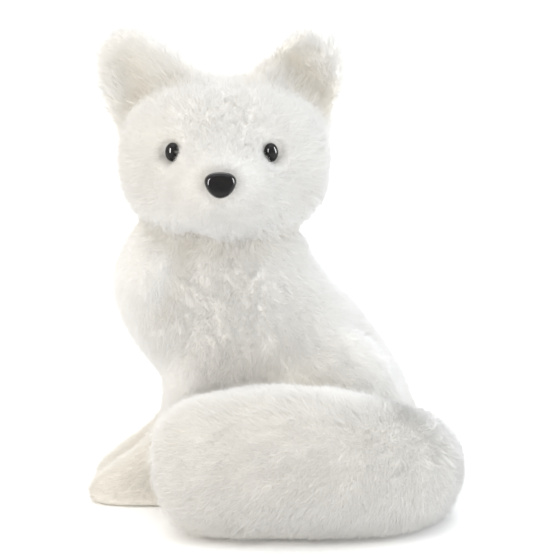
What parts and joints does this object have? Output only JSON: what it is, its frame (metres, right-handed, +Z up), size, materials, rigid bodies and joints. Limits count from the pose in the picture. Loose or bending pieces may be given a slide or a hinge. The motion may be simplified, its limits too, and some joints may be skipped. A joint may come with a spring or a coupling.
{
  "type": "plush toy arctic fox",
  "caption": "Stuffed plush fox sitting upright, head turned to the side, long white pile, glossy black eyes and nose, thick tail curled round beside the body.",
  "frame": {"origin": "middle of the base of the bounding box, on the floor it sits on", "axes": "+Z up; the face looks towards -Y, the body heads towards -X, and the tail lies on the -Y side of the body"},
  "size_m": [0.184, 0.1772, 0.2319],
  "materials": {
    "white_pile": "long soft faux fur pile over a stuffed skin",
    "black_plastic": "polished black plastic, domed"
  },
  "bodies": {
    "root": {"head": "white_pile", "ear_left": "white_pile", "ear_right": "white_pile", "eye_left": "black_plastic", "eye_right": "black_plastic", "nose": "black_plastic", "chest": "white_pile", "trunk": "white_pile", "front_leg_left": "white_pile", "front_leg_right": "white_pile", "thigh_left": "white_pile", "thigh_right": "white_pile", "hind_foot_left": "white_pile", "hind_foot_right": "white_pile", "tail_base": "white_pile", "tail_middle": "white_pile", "tail_tip": "white_pile"}
  },
  "joints": []
}
